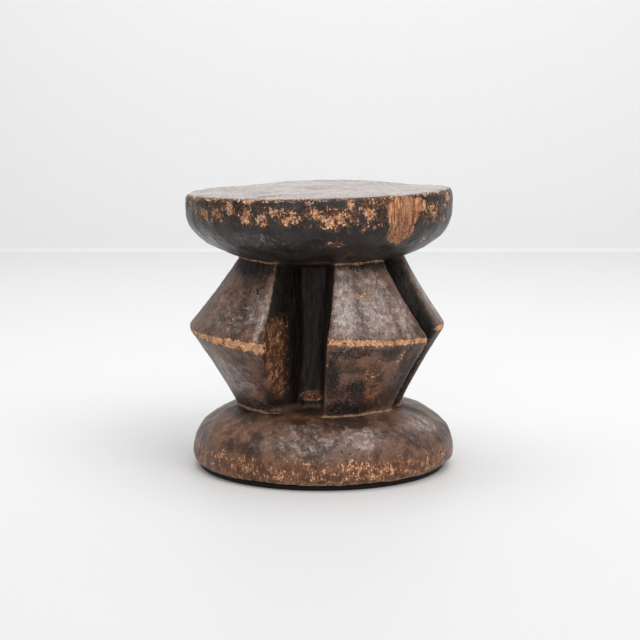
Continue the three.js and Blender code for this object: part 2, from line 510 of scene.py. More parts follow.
# %% Where the wood is bare
SEAT_WEAR = [
    (-73.5, 300, 9, 7, 0.6), (-68, 309, 6, 1.2, 0.8), (-56, 292, 7.5, 5.2, 1.0),
    (-47.9, 292.8, 9, 5.6, 0.74), (-40.1, 301.3, 4.4, 7.5, 1.0), (-32, 291.8, 7, 8.7, 1.0),
    (-29.7, 310, 7.2, 2, 1.0), (-24, 289.4, 5.5, 6.5, 0.78), (-19.2, 297, 5.7, 4.4, 0.78),
    (-13.1, 292.2, 11.7, 7.8, 0.7), (-5.3, 307.9, 2.7, 4.2, 0.62), (-3.9, 296.6, 8.3, 5.4, 0.85),
    (4.8, 291.3, 18.7, 9.9, 0.82), (5.5, 263, 9, 3.6, 0.33), (11.9, 305, 4.1, 4.9, 0.85),
    (17.1, 280.2, 2, 3.4, 0.95), (19.2, 305.2, 10, 5.1, 0.58), (20, 296.8, 6, 6.7, 0.92),
    (21.8, 281.5, 2.1, 1.9, 1.0), (27.8, 305.5, 7.9, 6.7, 0.8), (53.6, 295, 15, 9, 0.56),
    (53.7, 264.7, 4, 4.4, 0.62), (65, 299.5, 4, 2.6, 0.72), (69.5, 308, 8, 5, 0.95),
]
SPALL = [(35.6, 294, 20, 20, 1.0), (35.6, 276, 16.5, 13.5, 1.0), (44, 303, 12, 8, 0.95)]
BASE_WEAR = [
    (-64.3, 26.6, 9, 4.3, 0.55), (-48.6, 31.8, 3.4, 5.5, 0.75), (-17.1, 17, 20, 8, 0.38),
    (-6.2, 31.7, 4.5, 2, 0.65), (5.8, 19.8, 3.4, 4.6, 0.82), (12.5, 27.7, 3.9, 7.5, 0.92),
    (16.6, 25, 8, 6.3, 0.68), (23.6, 17, 12, 7.5, 1.0), (14.5, 21, 9, 9, 0.75),
    (30.6, 20.6, 3.5, 7, 0.88), (50.3, 18.4, 5.9, 7.1, 0.78), (61, 25.4, 5.4, 3.4, 0.82),
]
PATCH_FADE = (1.7, 0.3)


def patches(points, places):
    """Soft ellipses at the named places, the strongest one where they overlap, none in the core."""
    angles = azimuth(points)
    radii = np.hypot(points[:, 0], points[:, 1])
    found = np.zeros(len(points))
    for turn, height, half_width, half_height, strength in places:
        along = np.radians(turn_between(angles, turn)) * radii / half_width
        up = (points[:, 2] - height) / half_height
        found = np.maximum(found, strength * smooth_step(*PATCH_FADE, np.hypot(along, up)))
    return found * (radii > CORE_RADIUS * 2)


print("worn places in sight:", len(SEAT_WEAR) + len(SPALL) + len(BASE_WEAR))

# %% [markdown]
# The sides and back, which the camera doesn't see, are worn in the same way but more plainly. A seeded
# draw places that wear, so it looks unplanned and still comes out the same each time.

# %% Wear out of sight
SEED = 7
HIDDEN_PATCHES = 24
HIDDEN_ROUND = (82, 280)
HIDDEN_HALF_HEIGHT = (3, 8)
HIDDEN_WEAR = [
    {"places": SEAT_WEAR, "height": (297, 6), "half_width": (4, 13), "strength": (0.6, 0.9)},
    {"places": BASE_WEAR, "height": (20, 5), "half_width": (4, 12), "strength": (0.5, 0.85)},
]

rng = np.random.default_rng(SEED)
for _ in range(HIDDEN_PATCHES):
    for wear in HIDDEN_WEAR:
        wear["places"].append((
            rng.uniform(*HIDDEN_ROUND), rng.normal(*wear["height"]), rng.uniform(*wear["half_width"]),
            rng.uniform(*HIDDEN_HALF_HEIGHT), rng.uniform(*wear["strength"])))
print("worn places in all:", len(SEAT_WEAR) + len(SPALL) + len(BASE_WEAR))

# %% [markdown]
# Ridges, edges and creases wear by their own rule: what matters is how near a point lies to the support's
# ridge, to its upright edges or to the line where it meets the seat and the base. These masks serve
# twice, to cut the shape and to colour it. First comes where a point lies on a support, then the masks.

# %% Place on a support
def place_on_support(points, support):
    """Share across, height above the ridge, height above the nearer end, radius short of the face,
    and distance inside the nearer upright edge; then which points are below the ridge."""
    angles = azimuth(points)
    radii = np.hypot(points[:, 0], points[:, 1])
    heights = points[:, 2]
    centre = sum(support["ridge"][0]) / 2
    width = support["ridge"][0][1] - support["ridge"][0][0]
    across = np.clip(turn_between(angles, centre) / width + 0.5, 0, 1)
    ridge_height = mix(*support["height"], across)
    below = heights < ridge_height
    end_height = np.where(below, FOOT_HEIGHT, NECK_HEIGHT)
    slope = np.clip((heights - ridge_height) / (end_height - ridge_height), 0, 1)
    left = support_face(support, np.zeros(len(points)), slope, below)[0]
    right = support_face(support, np.ones(len(points)), slope, below)[0]
    radius = support_face(support, across, slope, below)[1]
    inside = np.radians(np.minimum(turn_between(angles, left), -turn_between(angles, right))) * radii
    return across, heights - ridge_height, heights - end_height, radius - radii, inside, below


print("the skin reaches", round(float(corners(stool)[:, 2].max()), 1), "mm up")

# %% Wear on the supports
RIDGE_WEAR = [(0.6, 6.2), (3.4, 2.6), (2.6, 2.4), (3.0, 3.0), (3.2, 2.6)]
RIDGE_FADE = (1.6, 0.5)
RIDGE_LINE = 0.6
NEAR_FACE = 7
FACE_OVERLAP = 2.5
FACE_INSET = 0.5
NEAR_EDGE = 7
EDGE_FADE = (6, 0.5)
CREASE_WIDTH = 1.3
CREASE_FADE = (1.5, 0.4)
CREASE_WAVES = [(0.8, 7), (0.5, 17)]
CREASE_SHIFT = {"foot": -1.2, "neck": 0.6}
CREASE_SPREAD_AT_FOOT = 0.7
CREASE_SUNK = 1.5
CREASE_OVERLAP = 3


def support_masks(points):
    """Ridges, upright edges, outer faces and creases of all the supports, 0 to 1 for each point."""
    heights = points[:, 2]
    on_height = (heights > FOOT_HEIGHT + 3) & (heights < NECK_HEIGHT - 2)
    wave = sum(size * np.sin(np.radians(azimuth(points) * count)) for size, count in CREASE_WAVES)
    masks = {name: np.zeros(len(points)) for name in ("ridge", "edge", "face", "crease")}
    for support, wear in zip(SUPPORTS, RIDGE_WEAR):
        across, up, past_end, sunk, inside, below = place_on_support(points, support)
        near = smooth_step(NEAR_FACE, NEAR_FACE / 2, np.abs(sunk)) * (inside > -FACE_OVERLAP)
        width = mix(*wear, across)
        ridge = near * smooth_step(width * RIDGE_FADE[0], width * RIDGE_FADE[1], np.abs(up + RIDGE_LINE))
        edge = np.hypot(np.clip(sunk, 0, None), np.clip(inside, 0, None))
        edge = smooth_step(*EDGE_FADE, edge) * on_height * (np.abs(inside) < NEAR_EDGE)
        face = near * (inside > FACE_INSET) * on_height
        joint = np.abs(past_end + wave + np.where(below, CREASE_SHIFT["foot"], CREASE_SHIFT["neck"]))
        joint *= np.where(below, CREASE_SPREAD_AT_FOOT, 1)
        joint = np.hypot(joint, np.clip(np.abs(sunk) - CREASE_SUNK, 0, None))
        crease = smooth_step(CREASE_WIDTH * CREASE_FADE[0], CREASE_WIDTH * CREASE_FADE[1], joint)
        found = {"ridge": ridge, "edge": edge, "face": face, "crease": crease * (inside > -CREASE_OVERLAP)}
        for name, mask in found.items():
            masks[name] = np.maximum(masks[name], mask)
    return masks


masks = support_masks(corners(stool))
print("share of the skin on outer faces:", round(float(masks["face"].mean()), 3))

# %% [markdown]
# Hands and clothes have rubbed the upright edges of the supports round. A Smooth modifier limited to a
# vertex group does the same: the group is strong along those edges and nil elsewhere.

# %% Rub the edges round
EDGE_SMOOTHING = 10
FAINT = 0.05

rubbed = stool.vertex_groups.new(name="rubbed_edges")
for index in np.nonzero(masks["edge"] > FAINT)[0]:
    rubbed.add([int(index)], float(masks["edge"][index]), "REPLACE")
apply_modifier(stool, "SMOOTH", factor=SMOOTH_FACTOR, iterations=EDGE_SMOOTHING, vertex_group=rubbed.name)
print("edge vertices rubbed round:", int((masks["edge"] > FAINT).sum()))

# %% [markdown]
# Now the knife work. A long gentle unevenness, the shallow scallops of the adze and the finer marks of a
# knife are made by Displace modifiers with procedural textures. They are strongest on seat and base,
# because the flat faces of the supports were pared smooth, so a second vertex group holds them back there.

# %% Adze and unevenness
UNEVEN_SIZE = 48
UNEVEN_DEPTH = 1.6
ADZE_SIZE = 19
ADZE_DEPTH = 1.5
KNIFE_SIZE = 6.5
KNIFE_DEPTH = 0.7
CUTS_ON_SUPPORTS = 0.35
CUTS_ON_TOP = 0.5
PARED_FROM = (68, 76)
PARED_TO = (242, 234)
TOP_FADE = (6, 2)

rounds = stool.vertex_groups.new(name="rounds")
heights = corners(stool)[:, 2]
on_rounds = mix(1.0, CUTS_ON_SUPPORTS, band(heights, PARED_FROM, PARED_TO))
on_rounds *= 1 - CUTS_ON_TOP * smooth_step(SEAT_HEIGHT - TOP_FADE[0], SEAT_HEIGHT - TOP_FADE[1], heights)
for index, weight in enumerate(on_rounds):
    rounds.add([index], float(weight), "REPLACE")


def displace(piece, name, kind, size, depth, **settings):
    """Pushes the skin in and out by a procedural texture of the given size."""
    texture = bpy.data.textures.new(name, kind)
    texture.noise_scale = size * MM
    for key, value in settings.items():
        setattr(texture, key, value)
    apply_modifier(piece, "DISPLACE", texture=texture, texture_coords="LOCAL", strength=depth * MM,
                   vertex_group="rounds")


displace(stool, "unevenness", "CLOUDS", UNEVEN_SIZE, UNEVEN_DEPTH, noise_depth=1)
displace(stool, "adze_scallops", "VORONOI", ADZE_SIZE, ADZE_DEPTH, distance_metric="DISTANCE_SQUARED")
displace(stool, "knife_marks", "CLOUDS", KNIFE_SIZE, KNIFE_DEPTH, noise_depth=2)
print("cut marks up to", ADZE_DEPTH, "mm deep")

# %% [markdown]
# What depends on the worn places is moved in code, vertex by vertex along its normal, because it has to
# agree with the masks: the spall is sunk two millimetres and ribbed by its fibres, chips are shallower,
# the ridges are knocked back unevenly, and the slots keep the long gouges of a chisel.

# %% Noise, normals and the rim
RIM_DROP = 5
RIM_RADIUS = 148


def noise_at(points, size, stretch=1.0, seed=0.0):
    """Fractal noise at each point, about -1 to 1, drawn out along the grain by stretch."""
    scale = np.array([1 / size, 1 / size, 1 / (size * stretch)])
    return np.array([noise.fractal(Vector(row), 1.0, 2.0, 3) for row in points * scale + seed])


def outward(piece):
    """Unit normals of the vertices."""
    flat = np.empty(len(piece.data.vertices) * 3)
    piece.data.vertices.foreach_get("normal", flat)
    return flat.reshape(-1, 3)


def rim_edge(points):
    """How near a point is to the edge between the seat's side and its top."""
    top = SEAT_HEIGHT + SEAT_SLOPE * points[:, 0]
    radii = np.hypot(points[:, 0] - SEAT_SHIFT, points[:, 1])
    return smooth_step(RIM_DROP, 1, np.hypot(points[:, 2] - top, np.clip(RIM_RADIUS - radii, 0, None)))


print("rim reaches", RIM_DROP, "mm from its edge")

# %% Spall, chips, battered ridges and gouges
SPALL_DEPTH = 2.2
SPALL_RIBS = 1.0
SPALL_SINKS = (0.35, 0.75)
CHIP_DEPTH = 1.0
CHIP_BREAKS = (0.45, 0.7)
CHIP_RIBS = 0.5
CHIP_RAGGED = 0.5
RIDGE_DEPTH = 1.5
EDGE_NICKS = 1.2
RIM_DEPTH = 1.1
CREASE_DEPTH = 0.6
GOUGE_DEPTH = 1.4
GOUGE_SIZE = 8
SLOT_RADII = (80, 60)
SLOT_FROM = (76, 84)
SLOT_TO = (236, 228)
FIBRE_SIZE = 2.6
FIBRE_STRETCH = 8
CRUMB_SIZE = 6

points = corners(stool)
fibres = noise_at(points, FIBRE_SIZE, FIBRE_STRETCH, seed=3.1)
crumbs = noise_at(points, CRUMB_SIZE, seed=11.7)
masks = support_masks(points)
spall = smooth_step(*SPALL_SINKS, patches(points, SPALL))
bare = np.maximum(patches(points, SEAT_WEAR), patches(points, BASE_WEAR))
chips = smooth_step(*CHIP_BREAKS, bare + CHIP_RAGGED * crumbs)
in_slots = smooth_step(*SLOT_RADII, np.hypot(points[:, 0], points[:, 1]))
in_slots *= band(points[:, 2], SLOT_FROM, SLOT_TO)
depth = spall * (SPALL_DEPTH + SPALL_RIBS * fibres)
depth += chips * (CHIP_DEPTH + CHIP_RIBS * fibres)
depth += masks["ridge"] * (RIDGE_DEPTH * np.clip(0.5 + 1.2 * crumbs, 0, 1.4))
depth += masks["edge"] * np.clip(crumbs, 0, 1) * EDGE_NICKS
depth += rim_edge(points) * np.clip(crumbs + 0.15, 0, 1) * RIM_DEPTH
depth += masks["crease"] * CREASE_DEPTH
depth += in_slots * GOUGE_DEPTH * noise_at(points, GOUGE_SIZE, FIBRE_STRETCH, seed=29.3)
place_corners(stool, points - outward(stool) * depth[:, None])
print("deepest cut:", round(float(depth.max()), 2), "mm")

# %% [markdown]
# The skin is heavier than it needs to be on plain areas, so it is thinned until it has fewer than two
# hundred thousand triangles. Detail stays, because the thinning takes flat places first.

# %% Thin the skin
TRIANGLES_WANTED = 192000


def triangle_count(piece):
    """How many triangles the faces of a mesh come to."""
    return sum(len(face.vertices) - 2 for face in piece.data.polygons)


triangles = triangle_count(stool)
apply_modifier(stool, "DECIMATE", ratio=min(1.0, TRIANGLES_WANTED / triangles))
selected_only(stool)
bpy.ops.object.shade_smooth()
stool.vertex_groups.clear()
print("triangles:", triangles, "->", triangle_count(stool))

# %% [markdown]
# Colour follows use as well. Smoke and hands have blackened the seat and the slots, the upper faces of
# the supports carry a pale waxy bloom with painted sheen and highlights over it, red-brown wood shows
# through where the skin has grown thin, and fine cracks cross the left support. Painted shade darkens the
# slots and the necks under the seat. They could be painted by hand on a map, but named places can be read
# and mended, so the tones are placed like the worn places and stored in the mesh.

# %% Named places of the tones
# Pale places: waxy bloom, with painted sheen and highlights where the lamps would shine. The right edge of
# the left support, the glint on the base, the left support's lower face and the bowl's left are painted
# light.
PALE_BLOOM_AND_SHEEN = [
    (-58, 182, 26, 24, 0.35), (9, 178, 6, 40, 0.6), (12, 195, 16, 36, 1.0), (29.4, 192, 22, 36, 0.9),
    (44, 180, 14, 30, 0.65), (-31.5, 186, 4.5, 30, 1.0), (-38, 190, 9, 24, 0.5),
    (-46, 175, 20, 14, 0.45), (-11, 60, 44, 6, 0.36), (18.5, 55, 28, 7, 0.7), (19.5, 48.5, 11, 4.5, 1.0),
    (-4, 50, 62, 12, 0.42), (-66, 262, 44, 16, 0.62), (-28, 268, 26, 9, 0.36), (61, 56, 30, 9, 0.5),
    (80, 190, 12, 26, 0.6), (-60, 112, 40, 26, 0.5), (160, 195, 26, 28, 0.6), (228, 195, 24, 28, 0.6),
    (150, 56, 50, 9, 0.5), (215, 56, 50, 9, 0.5),
]
WARM = [
    (-62, 195, 26, 22, 0.6), (26, 207, 15, 12, 0.45), (-60, 58, 60, 14, 0.45), (0, 64, 50, 7, 0.24),
    (31.7, 222, 26, 7, 0.6), (30, 96, 14, 18, 0.75), (27, 125, 15, 16, 0.6), (17, 136, 16, 13, 0.55),
    (42, 138, 9, 14, 0.55), (-50, 54, 36, 13, 0.62), (-15.5, 71, 30, 4, 0.5), (100, 115, 24, 26, 0.6),
    (165, 118, 24, 26, 0.6), (232, 118, 24, 26, 0.6), (170, 52, 60, 10, 0.5),
]
# Dark places: blackened patches, and painted shade under the seat's overhang along the necks (the rows
# near 236 mm high) and on the lower face of the right support.
DARK_AND_SHADE = [
    (5, 120, 11, 32, 0.75), (36, 146, 9, 8, 0.7), (13, 147, 36, 8, 0.7), (19, 103, 15, 13, 0.7),
    (24, 92, 8, 9, 0.6), (46, 130, 10, 30, 0.7), (35, 145, 26, 6, 0.6), (-75, 130, 14, 26, 0.35),
    (73, 112, 15, 48, 1.0), (52, 118, 9, 34, 0.8), (43, 110, 13, 26, 0.42), (14, 88, 12, 10, 0.6),
    (-56, 76, 52, 12, 0.7), (17, 80, 34, 13, 0.85), (10, 42, 22, 7, 0.42), (-38, 41, 34, 8, 0.36),
    (84, 112, 20, 34, 0.6), (-52, 236, 40, 16, 0.95), (-38, 215, 9, 20, 0.6), (30, 238, 34, 8, 0.85),
    (90, 236, 30, 14, 0.8), (150, 90, 16, 16, 0.7), (215, 95, 16, 20, 0.7), (95, 40, 40, 8, 0.42),
    (200, 40, 40, 8, 0.42), (165, 236, 34, 12, 0.8), (230, 236, 34, 12, 0.8),
]
FLECKED = [
    (28, 124, 9, 13, 0.36), (41.7, 136, 2.6, 12, 0.42), (-48, 179, 2.4, 3, 0.55), (24, 209, 13, 8, 0.3),
    (-40, 150, 7, 4, 0.3),
]
RIM_WORN = [
    (-30.5, 311, 7.5, 5, 1.0), (-46, 310, 16, 4, 0.5), (-64, 309, 12, 4, 0.6), (29, 311, 13, 5, 0.6),
]
CRACKED = [(-48, 182, 24, 20, 1.0), (-58, 200, 14, 10, 0.6), (170, 190, 20, 16, 0.8)]
print("toned places:", sum(map(len, (PALE_BLOOM_AND_SHEEN, WARM, DARK_AND_SHADE, FLECKED, RIM_WORN, CRACKED))))

# %% [markdown]
# Other tones follow the form. Slot walls are sooty and carry painted shade that deepens towards the core,
# but the left wall of the front slot has a rubbed strip near its outer edge, and the chisel step a bare
# ledge. The foot is scuffed by the floor, and the seat's side by hands.

# %% Where each point lies
SUPPORTS_FROM = (74, 80)
SUPPORTS_TO = (240, 234)
SEAT_FROM = (238, 242)
TOP_FROM = (298, 305)
TOP_FACING = (0.75, 0.9)

points = corners(stool)
angles = azimuth(points)
radii = np.hypot(points[:, 0], points[:, 1])
heights = points[:, 2]
facing_up = outward(stool)[:, 2]
masks = support_masks(points)
between = band(heights, SUPPORTS_FROM, SUPPORTS_TO)
on_face = np.where(between > 0.5, masks["face"], 1.0)
slot_wall = between * (1 - masks["face"])
on_seat = smooth_step(*SEAT_FROM, heights)
on_top = smooth_step(*TOP_FACING, facing_up) * smooth_step(*TOP_FROM, heights)
print("share of the skin on the seat's top:", round(float(on_top.mean()), 3))

# %% Strip and ledge in the front slot
STRIP_AZIMUTH = -30
STRIP_HALF_TURN = (8, 3)
STRIP_ACROSS = [(-64, -58), (-31, -47)]
STRIP_UP = [(80, 92), (192, 165)]
STRIP_INWARD = (2, 8)
LEDGE_HEIGHT = 86
LEDGE_HALF_HEIGHT = 5
LEDGE_HALF_TURN = 20
LEDGE_REACH = 52
LEDGE_FACING = (0.15, 0.5)

left_support = SUPPORTS[0]
foot_radius, ridge_radius, neck_radius = [left_support[part][1][1] for part in ("foot", "ridge", "neck")]
ridge_height = left_support["height"][1]
face_radius = mix(foot_radius, ridge_radius, smooth_step(FOOT_HEIGHT, ridge_height, heights))
face_radius -= (ridge_radius - neck_radius) * smooth_step(ridge_height, NECK_HEIGHT, heights)
strip = slot_wall * smooth_step(*STRIP_HALF_TURN, np.abs(turn_between(angles, STRIP_AZIMUTH)))
strip *= band(points[:, 0], *STRIP_ACROSS) * smooth_step(*STRIP_INWARD, face_radius - radii)
strip *= band(heights, *STRIP_UP)
off_middle = np.abs(turn_between(angles, FRONT_SLOT))
ledge = smooth_step(LEDGE_HALF_TURN * 1.25, LEDGE_HALF_TURN, off_middle) * (radii < LEDGE_REACH)
ledge *= smooth_step(1.5, 1, np.abs(heights - LEDGE_HEIGHT) / LEDGE_HALF_HEIGHT)
ledge *= smooth_step(*LEDGE_FACING, facing_up)
print("vertices on strip and ledge:", int((strip > 0.5).sum()), "and", int((ledge > 0.5).sum()))

# %% [markdown]
# A place by rule lends each tone a share of its strength. Where several reach the same point, the
# strongest one shows.

# %% Tones by rule
FOOT_SCUFF = (44, 20)
FOOT_RADIUS = 120
BAND_UP = [(276, 286), (311, 299)]
STEP_EDGE = (46.5, 48.5)
SLOT_MOUTH = (52, 74)
BY_RULE = {
    "edge": masks["edge"] * masks["face"],
    "rim": rim_edge(points),
    "foot": smooth_step(*FOOT_SCUFF, heights) * (radii > FOOT_RADIUS),
    "strip": strip,
    "seat": on_seat,
    "seat_band": on_seat * band(heights, *BAND_UP) * (1 - on_top),
    "ledge": ledge,
    "step_edge": ledge * smooth_step(*STEP_EDGE, radii),
    "slot_mouth": slot_wall * smooth_step(*SLOT_MOUTH, radii),
}
BARE_SHARES = {"edge": 0.13, "rim": 0.46, "foot": 0.26, "strip": 0.3, "seat": 0.045, "seat_band": 0.14,
               "ledge": 0.2, "step_edge": 0.6}
WARM_SHARES = {"foot": 0.85, "strip": 0.9, "seat_band": 0.4, "ledge": 0.6, "slot_mouth": 0.2}
WORN_OFF_ON_TOP = 0.9
RIM_WEAR_FROM = (138, 144)


def strongest(found, shares):
    """The strongest of some masks and of the places by rule, each held to its share."""
    return np.maximum.reduce([*found, *[share * BY_RULE[name] for name, share in shares.items()]])


bare = strongest([patches(points, SEAT_WEAR), patches(points, BASE_WEAR), masks["ridge"],
                  patches(points, FLECKED) * masks["face"]], BARE_SHARES)
bare *= 1 - WORN_OFF_ON_TOP * on_top
from_seat_axis = np.hypot(points[:, 0] - SEAT_SHIFT, points[:, 1])
bare = np.maximum(bare, patches(points, RIM_WORN) * smooth_step(*RIM_WEAR_FROM, from_seat_axis))
warm = strongest([patches(points, WARM) * on_face], WARM_SHARES)
print("share of the skin worn bare:", round(float((bare > 0.5).mean()), 3))

# %% Store the tones in the mesh
# Slot walls take the soot colour, partly as painted shade, and darken further towards the core as painted
# shade.
SLOT_SOOT_AND_SHADE = 0.95
SLOT_SHADE = 0.88
FOOT_EDGE_LIGHT = 0.8
FOOT_EDGE = (11, 8)
FOOT_EDGE_RADIUS = 130
SPALL_SHOWS = (0.15, 0.75)


def write_mask(piece, name, values):
    """Stores one number per vertex, which a material reads by name."""
    layer = piece.data.attributes.new(name, "FLOAT", "POINT")
    layer.data.foreach_set("value", np.clip(values, 0, 1).astype(np.float32))


# The bottom edge of the base gets a painted highlight in the creases' cream colour.
foot_edge = smooth_step(*FOOT_EDGE, heights) * (radii > FOOT_EDGE_RADIUS)
slot_depth = slot_wall * smooth_step(*reversed(SLOT_MOUTH), radii)
TONES = {
    "bare": bare,
    "spall": smooth_step(*SPALL_SHOWS, patches(points, SPALL)) * (1 - on_top),
    "rubbed": masks["ridge"],
    "soot_and_shade": np.maximum(on_seat, SLOT_SOOT_AND_SHADE * slot_wall * smooth_step(0.9, 0.5, np.maximum(strip, ledge))),
    "seat_top": on_top,
    "bloom_and_sheen": patches(points, PALE_BLOOM_AND_SHEEN) * on_face,
    "warm": warm,
    "dark": np.maximum(patches(points, DARK_AND_SHADE) * on_face, SLOT_SHADE * slot_depth * (1 - ledge)),
    "cracked": patches(points, CRACKED) * on_face,
    "crease": np.maximum(masks["crease"], FOOT_EDGE_LIGHT * foot_edge),
}
for name, values in TONES.items():
    write_mask(stool, name, values)
print("tones written:", sorted(TONES))

# %% [markdown]
# A material is a chain of small nodes. One function adds any node, sets what is plain, links what comes
# from another node and hands back its output. Colours are given as on a paint card, in sRGB hex, and
# turned to linear light once.

# %% Nodes and colours
def linear(hex_colour):
    """An sRGB hex colour as linear RGBA."""
    parts = [int(hex_colour[i:i + 2], 16) / 255 for i in (1, 3, 5)]
    return (*[c / 12.92 if c <= 0.04045 else ((c + 0.055) / 1.055) ** 2.4 for c in parts], 1)


def add_node(tree, kind, inputs=None, output=0, **settings):
    """Adds a node and returns one output. An input is a value, a hex colour or another node's output."""
    node = tree.nodes.new("ShaderNode" + kind)
    for key, value in settings.items():
        setattr(node, key, value)
    for key, value in (inputs or {}).items():
        if isinstance(value, bpy.types.NodeSocket):
            tree.links.new(value, node.inputs[key])
        else:
            node.inputs[key].default_value = linear(value) if isinstance(value, str) else value
    return node.outputs[output]


def new_material(name):
    """An empty material, its node tree and its principled shader."""
    material = bpy.data.materials.new(name)
    material.use_nodes = True
    return material, material.node_tree, material.node_tree.nodes["Principled BSDF"]


print("orange wood in linear light:", [round(c, 3) for c in linear("#c58a58")[:3]])

# %% [markdown]
# Wood is coloured in coats: one colour lies over another where a pattern lets it through. The patterns
# are lumps, fibres and cracks, and their sizes are real millimetres.

# %% Coats, lumps and cracks
PER_METRE = 1000
BENDS_PER_CELL = 0.7


def shown(tree, pattern, low, high, strength=1.0):
    """How strongly a pattern shows: nil at low and full at high, times a strength or another mask."""
    inputs = {"Value": pattern, "From Min": low, "From Max": high}
    seen = add_node(tree, "MapRange", inputs, interpolation_type="SMOOTHSTEP")
    return add_node(tree, "Math", {0: seen, 1: strength}, operation="MULTIPLY")


def coat(tree, under, over, pattern, levels=None, strength=1.0, mode="MIX"):
    """One colour over another where a mask, or a pattern between two levels, lets it through."""
    if levels:
        cover = shown(tree, pattern, *levels, strength)
    else:
        cover = add_node(tree, "Math", {0: pattern, 1: strength}, operation="MULTIPLY")
    inputs = {"Factor": cover, 6: under, 7: over}
    return add_node(tree, "Mix", inputs, output=2, data_type="RGBA", blend_type=mode)


def lumps(tree, place, size, detail=4, roughness=0.55, stretch=1):
    """Noise whose lumps measure size millimetres, drawn out along the upright grain by stretch."""
    scale = (PER_METRE / size, PER_METRE / size, PER_METRE / (size * stretch))
    placed = add_node(tree, "Mapping", {"Vector": place, "Scale": scale})
    inputs = {"Vector": placed, "Scale": 1, "Detail": detail, "Roughness": roughness}
    return add_node(tree, "TexNoise", inputs, output="Fac")


def crack_lines(tree, place, spacing, width, wander):
    """Thin lines between cells: 1 on a line, 0 beside it. Spacing, width and wander are in millimetres."""
    inputs = {"Vector": place, "Scale": BENDS_PER_CELL * PER_METRE / spacing, "Detail": 2}
    bends = add_node(tree, "TexNoise", inputs, output="Color")
    push = add_node(tree, "VectorMath", {0: bends, 1: (0.5, 0.5, 0.5)}, operation="SUBTRACT")
    inputs = {0: push, 1: (wander * MM,) * 3, 2: place}
    moved = add_node(tree, "VectorMath", inputs, operation="MULTIPLY_ADD")
    inputs = {"Vector": moved, "Scale": PER_METRE / spacing}
    away = add_node(tree, "TexVoronoi", inputs, output="Distance", feature="DISTANCE_TO_EDGE")
    return shown(tree, away, width / spacing, 0)


print("crack lines bend", BENDS_PER_CELL, "times in a cell")

# %% [markdown]
# The wood itself: dense brown hardwood under a skin of smoke and oil. Several sizes of noise mottle the
# skin. Its real pores are a tenth to a third of a millimetre wide, too fine for the camera, so the finest
# patterns are drawn several times as coarse. Where a tone's mask plus noise passes a level, that tone
# shows, so its edge is ragged as in a rubbed surface and never follows the soft mask itself.

# %% Smoked hardwood: patterns
wood, tree, shader = new_material("smoked_hardwood")
place = add_node(tree, "TexCoord", output="Object")
tone = {name: add_node(tree, "Attribute", output="Fac", attribute_name=name) for name in TONES}
fibre = lumps(tree, place, 1.3, detail=3, stretch=7)
grit = lumps(tree, place, 1.3, detail=3, roughness=0.7)
speck = lumps(tree, place, 2.1, roughness=0.62)
strand = lumps(tree, place, 2.3, stretch=9)
streak = lumps(tree, place, 4, detail=5, roughness=0.65, stretch=6)
blot = lumps(tree, place, 8)
drift = lumps(tree, place, 9, detail=6, roughness=0.6, stretch=3.5)
mottle = lumps(tree, place, 26, roughness=0.5)
wide_lumps = lumps(tree, place, 60, detail=5, roughness=0.6)
crazing = crack_lines(tree, place, spacing=7, width=0.55, wander=7)
cracks = crack_lines(tree, place, spacing=9, width=0.7, wander=10)
splits = crack_lines(tree, place, spacing=46, width=0.7, wander=70)


def ragged(mask, amount, low, high, grain=0.5):
    """A mask whose edge is broken up by blots, specks and a share of upright fibre."""
    fine = add_node(tree, "Mix", {"Factor": grain, "A": speck, "B": fibre})
    fine = add_node(tree, "Math", {0: fine, 1: 1.4}, operation="MULTIPLY")
    both = add_node(tree, "Math", {0: blot, 1: 0.6, 2: fine}, operation="MULTIPLY_ADD")
    noisy = add_node(tree, "Math", {0: both, 1: amount, 2: -amount}, operation="MULTIPLY_ADD")
    level = add_node(tree, "Math", {0: mask, 1: noisy}, operation="ADD")
    return shown(tree, level, low, high, shown(tree, mask, 0.02, 0.15))


print("patterns made of", len(tree.nodes), "nodes")

# %% Smoked hardwood: plain colours
brown = coat(tree, "#4a352b", "#7c5b4b", mottle, (0.4, 0.6))
brown = coat(tree, brown, "#8d7263", blot, (0.48, 0.66), 0.45)
brown = coat(tree, brown, "#35261f", streak, (0.46, 0.36), 0.5)
red = coat(tree, "#5a3725", "#966546", blot, (0.4, 0.58))
red = coat(tree, red, "#bd8a63", fibre, (0.54, 0.66), 0.6)
# A pale bloom colour, which also serves as painted sheen and highlight.
bloom_and_sheen_colour = coat(tree, "#8a766d", "#b5a299", blot, (0.35, 0.65))
bloom_and_sheen_colour = coat(tree, bloom_and_sheen_colour, "#c4b5ae", streak, (0.5, 0.62), 0.35)
bloom_and_sheen_colour = coat(tree, bloom_and_sheen_colour, "#5f4a40", streak, (0.46, 0.36), 0.4)
# Near black, for blackened patches and for painted shade.
pitch_and_shade = coat(tree, "#12100f", "#332720", streak, (0.4, 0.62))
smoke_and_sheen = coat(tree, "#1c1b1b", "#33302e", mottle, (0.38, 0.66))
# The seat's top: dark polished wood, lightened to a painted reflection of the pale wall seen at a low
# angle.
polish_and_reflection = coat(tree, "#8b7e77", "#a59993", mottle, (0.35, 0.65))
polish_and_reflection = coat(tree, polish_and_reflection, "#b8afab", wide_lumps, (0.42, 0.58), 0.62)
polish_and_reflection = coat(tree, polish_and_reflection, "#77655c", blot, (0.54, 0.68), 0.5)
print("plain colours bring it to", len(tree.nodes), "nodes")

# %% Smoked hardwood: the sound skin
bloom_and_sheen_places = ragged(tone["bloom_and_sheen"], 0.6, 0.1, 0.85)
skin = coat(tree, brown, red, ragged(tone["warm"], 1.1, 0.3, 0.7), strength=0.9)
skin = coat(tree, skin, bloom_and_sheen_colour, bloom_and_sheen_places, strength=0.9)
